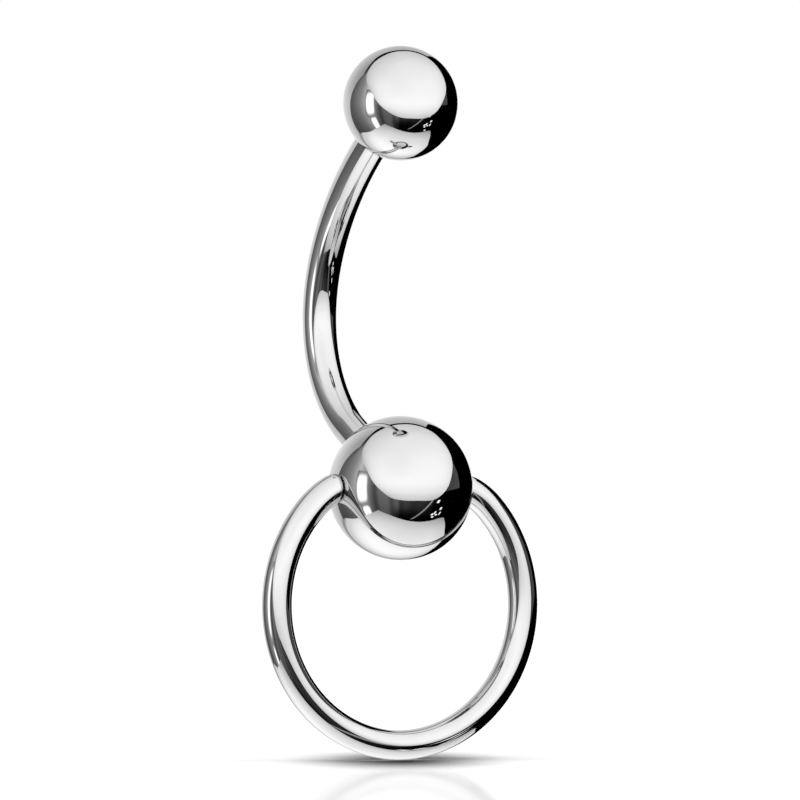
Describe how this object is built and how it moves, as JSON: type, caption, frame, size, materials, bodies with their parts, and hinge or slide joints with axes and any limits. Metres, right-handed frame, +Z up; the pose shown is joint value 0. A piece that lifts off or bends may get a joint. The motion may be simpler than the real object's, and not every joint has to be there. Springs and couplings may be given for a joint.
{
  "type": "navel ring",
  "caption": "Curved navel barbell with a small screw-on ball on top and a larger ball below that carries a free-swinging captive ring.",
  "frame": {"origin": "on the bar's centreline at the middle of its bulge, where the piercing holds the bar", "axes": "+Z runs up from the lower ball to the top ball, +Y is the side that the bar bulges to, X is the axis that the ring swings about"},
  "size_m": [0.0146, 0.0122, 0.0336],
  "materials": {
    "mirror_steel": "surgical steel ball, mirror polished",
    "polished_wire": "drawn surgical steel bar and wire, tumbled and polished bright"
  },
  "bodies": {
    "barbell": {"curved_bar": "polished_wire", "lower_ball": "mirror_steel"},
    "ring": {"captive_ring": "polished_wire"},
    "top": {"top_ball": "mirror_steel"}
  },
  "joints": [
    {"name": "ring_swing", "type": "hinge", "parent": "barbell", "child": "ring", "pos_m": [0, -0.00795, -0.0082], "axis": [1, 0, 0], "range_deg": [-206, 126]},
    {"name": "ball_off", "type": "slide", "parent": "barbell", "child": "top", "axis": [0, -0.8361, 0.5486], "range_m": [0, 0.003]}
  ]
}
